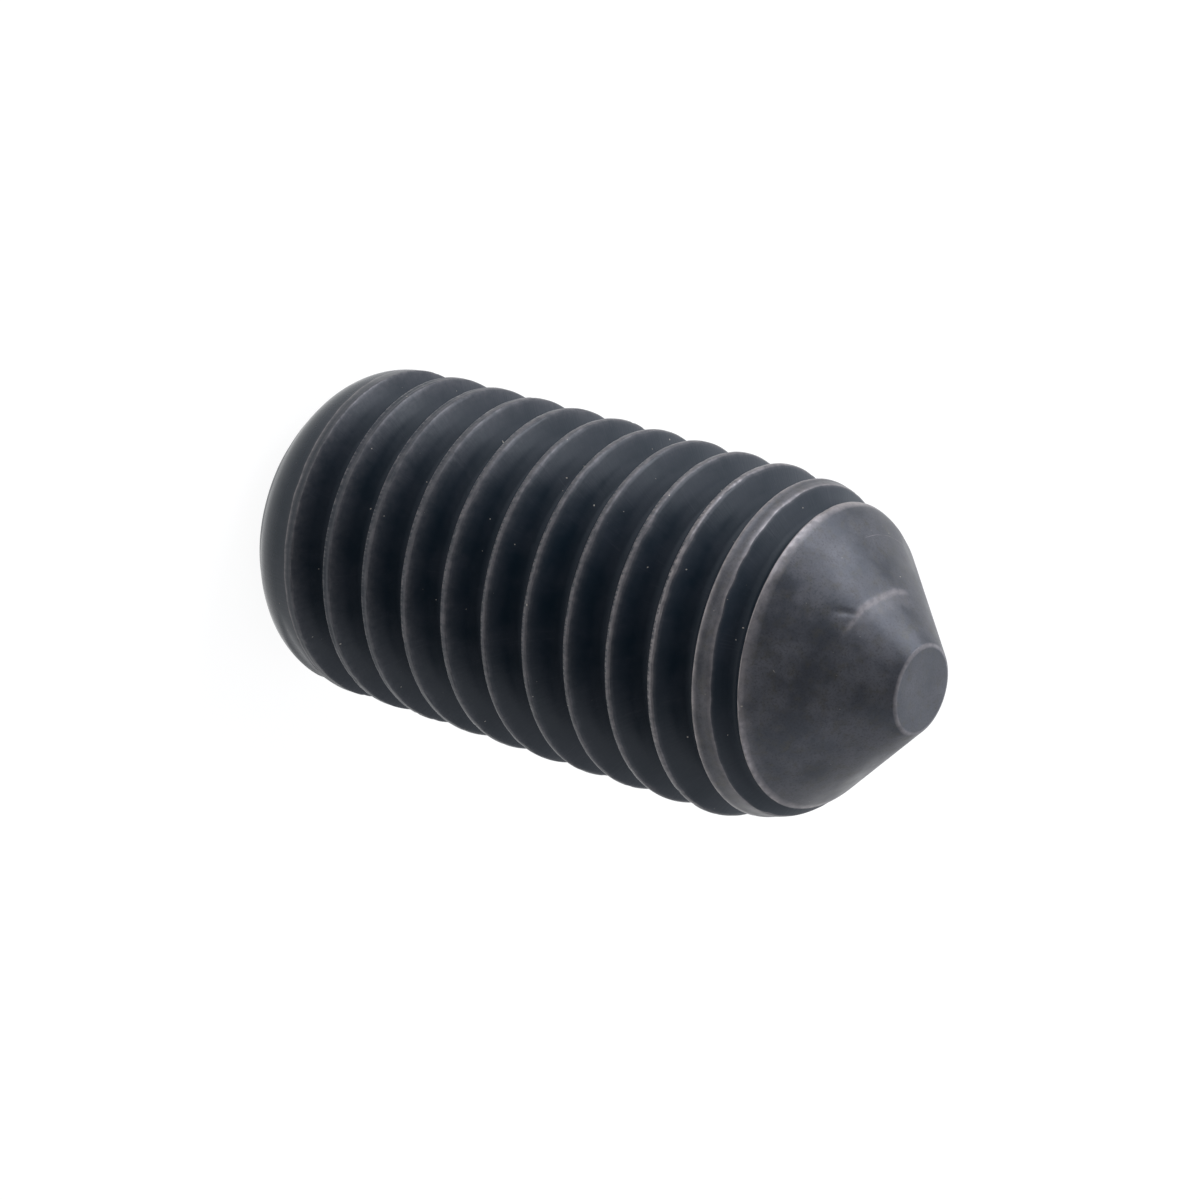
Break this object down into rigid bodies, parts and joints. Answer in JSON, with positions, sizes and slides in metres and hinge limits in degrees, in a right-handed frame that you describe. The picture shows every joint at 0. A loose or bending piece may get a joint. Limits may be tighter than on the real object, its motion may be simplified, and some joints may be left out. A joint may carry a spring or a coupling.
{
  "type": "cone-point socket set screw",
  "caption": "Headless black steel grub screw with a right-hand metric thread, a blunt cone point and a hexagon socket, driven in to press on a shaft or hold a part.",
  "frame": {"origin": "centre of the flat face round the socket, on which the screw stands", "axes": "+Z along the screw from the socket end to the cone point; the groove of the thread begins above +X"},
  "size_m": [0.0118, 0.0118, 0.025],
  "materials": {
    "black_steel": "black oxide, oiled, satin, with brighter rubbed crests"
  },
  "bodies": {
    "root": {"set_screw": "black_steel"}
  },
  "joints": []
}
